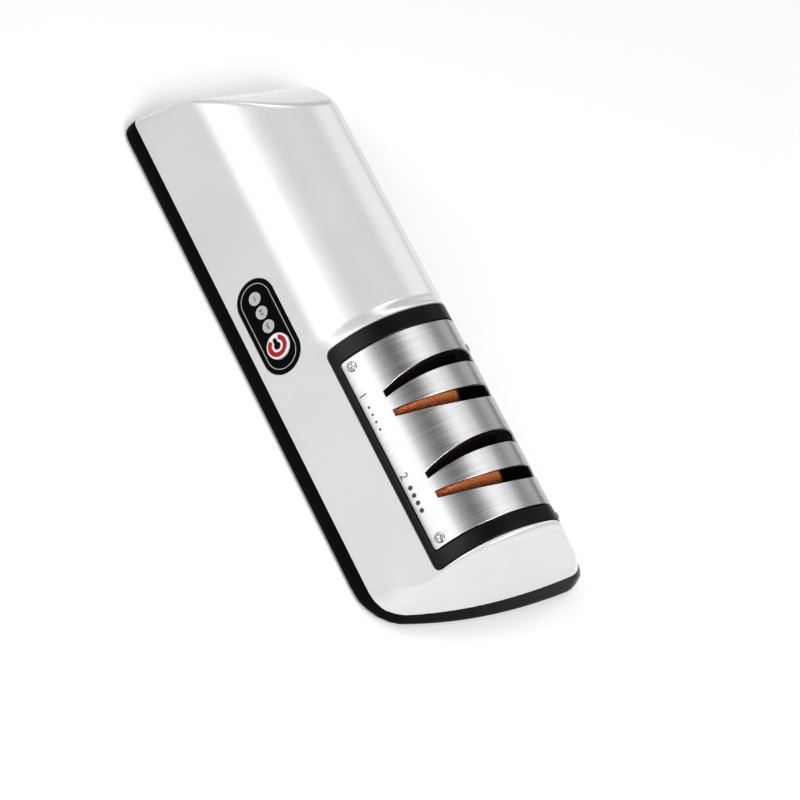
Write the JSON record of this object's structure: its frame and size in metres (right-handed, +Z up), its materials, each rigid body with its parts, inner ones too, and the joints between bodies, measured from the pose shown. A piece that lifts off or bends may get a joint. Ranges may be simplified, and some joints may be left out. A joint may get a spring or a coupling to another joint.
{
  "type": "electric knife sharpener",
  "caption": "Long casing with a skewed section and rolled handle end, a framed steel plate crossed by leaning slots over grinding wheels, and a control panel with a button.",
  "frame": {"origin": "middle of the footprint at the level of the surface that the feet rest on", "axes": "+X towards the slot end, +Y towards the far flank, away from the control panel, +Z up"},
  "size_m": [0.225, 0.089, 0.0492],
  "materials": {
    "white_shell": "gloss white",
    "black_base": "gloss black",
    "black_frame": "satin black",
    "guide_plastic": "matte black",
    "brushed_plate": "brushed across the body",
    "steel": "turned or pressed steel",
    "orange_grit": "gritty abrasive",
    "white_button": "gloss white with a red ring",
    "grey_lens": "frosted grey",
    "rubber": "matte rubber",
    "board": "green circuit board",
    "cell_wrap": "blue shrink wrap over cells",
    "grey_plastic": "moulded grey plastic",
    "brass": "turned brass",
    "copper": "wound copper on a laminated core",
    "magnet": "sintered magnet"
  },
  "bodies": {
    "casing": {"base_tray": "black_base", "battery_pack": "cell_wrap", "battery_tray": "black_frame", "blade_guide": "guide_plastic", "bracket_screw_1": "steel", "bracket_screw_2": "steel", "bracket_screw_3": "steel", "bracket_screw_4": "steel", "case_screw_1": "steel", "case_screw_2": "steel", "case_screw_3": "steel", "case_screw_4": "steel", "charging_socket": "steel", "control_board": "board", "control_panel": "black_base", "cradle_screw_1": "steel", "cradle_screw_2": "steel", "foot_1": "rubber", "foot_2": "rubber", "foot_3": "rubber", "foot_4": "rubber", "front_bearing": "steel", "front_bracket": "grey_plastic", "indicator_1": "grey_lens", "indicator_2": "grey_lens", "indicator_3": "grey_lens", "main_board": "board", "motor_can": "steel", "motor_cradle": "grey_plastic", "motor_end_cap": "black_frame", "motor_magnet_far": "magnet", "motor_magnet_near": "magnet", "motor_mount": "steel", "motor_screw_1": "steel", "motor_screw_2": "steel", "motor_strap": "steel", "plate_screw_1": "steel", "plate_screw_2": "steel", "plate_screw_3": "steel", "plate_screw_4": "steel", "rear_bearing": "steel", "rear_bracket": "grey_plastic", "slot_frame": "black_frame", "slot_plate": "brushed_plate", "switch_housing": "black_frame", "top_shell": "white_shell"},
    "spindle": {"wheel_shaft": "steel", "fine_wheel": "orange_grit", "coarse_wheel": "orange_grit", "fine_hub": "grey_plastic", "coarse_hub": "grey_plastic", "rear_spacer": "grey_plastic", "middle_spacer": "grey_plastic", "front_spacer": "grey_plastic", "shaft_nut": "brass", "shaft_coupling": "brass", "motor_shaft": "steel", "motor_armature": "copper"},
    "button": {"power_button": "white_button", "switch_plunger": "grey_plastic"}
  },
  "joints": [
    {"name": "spindle_spin", "type": "hinge", "parent": "casing", "child": "spindle", "pos_m": [0, 0, 0.0262], "axis": [1, 0, 0], "continuous": true},
    {"name": "button_press", "type": "slide", "parent": "casing", "child": "button", "axis": [0, 0.866, -0.5], "range_m": [0, 0.0005], "stiffness_N_per_m": 2000, "springref_m": -0.0003}
  ]
}
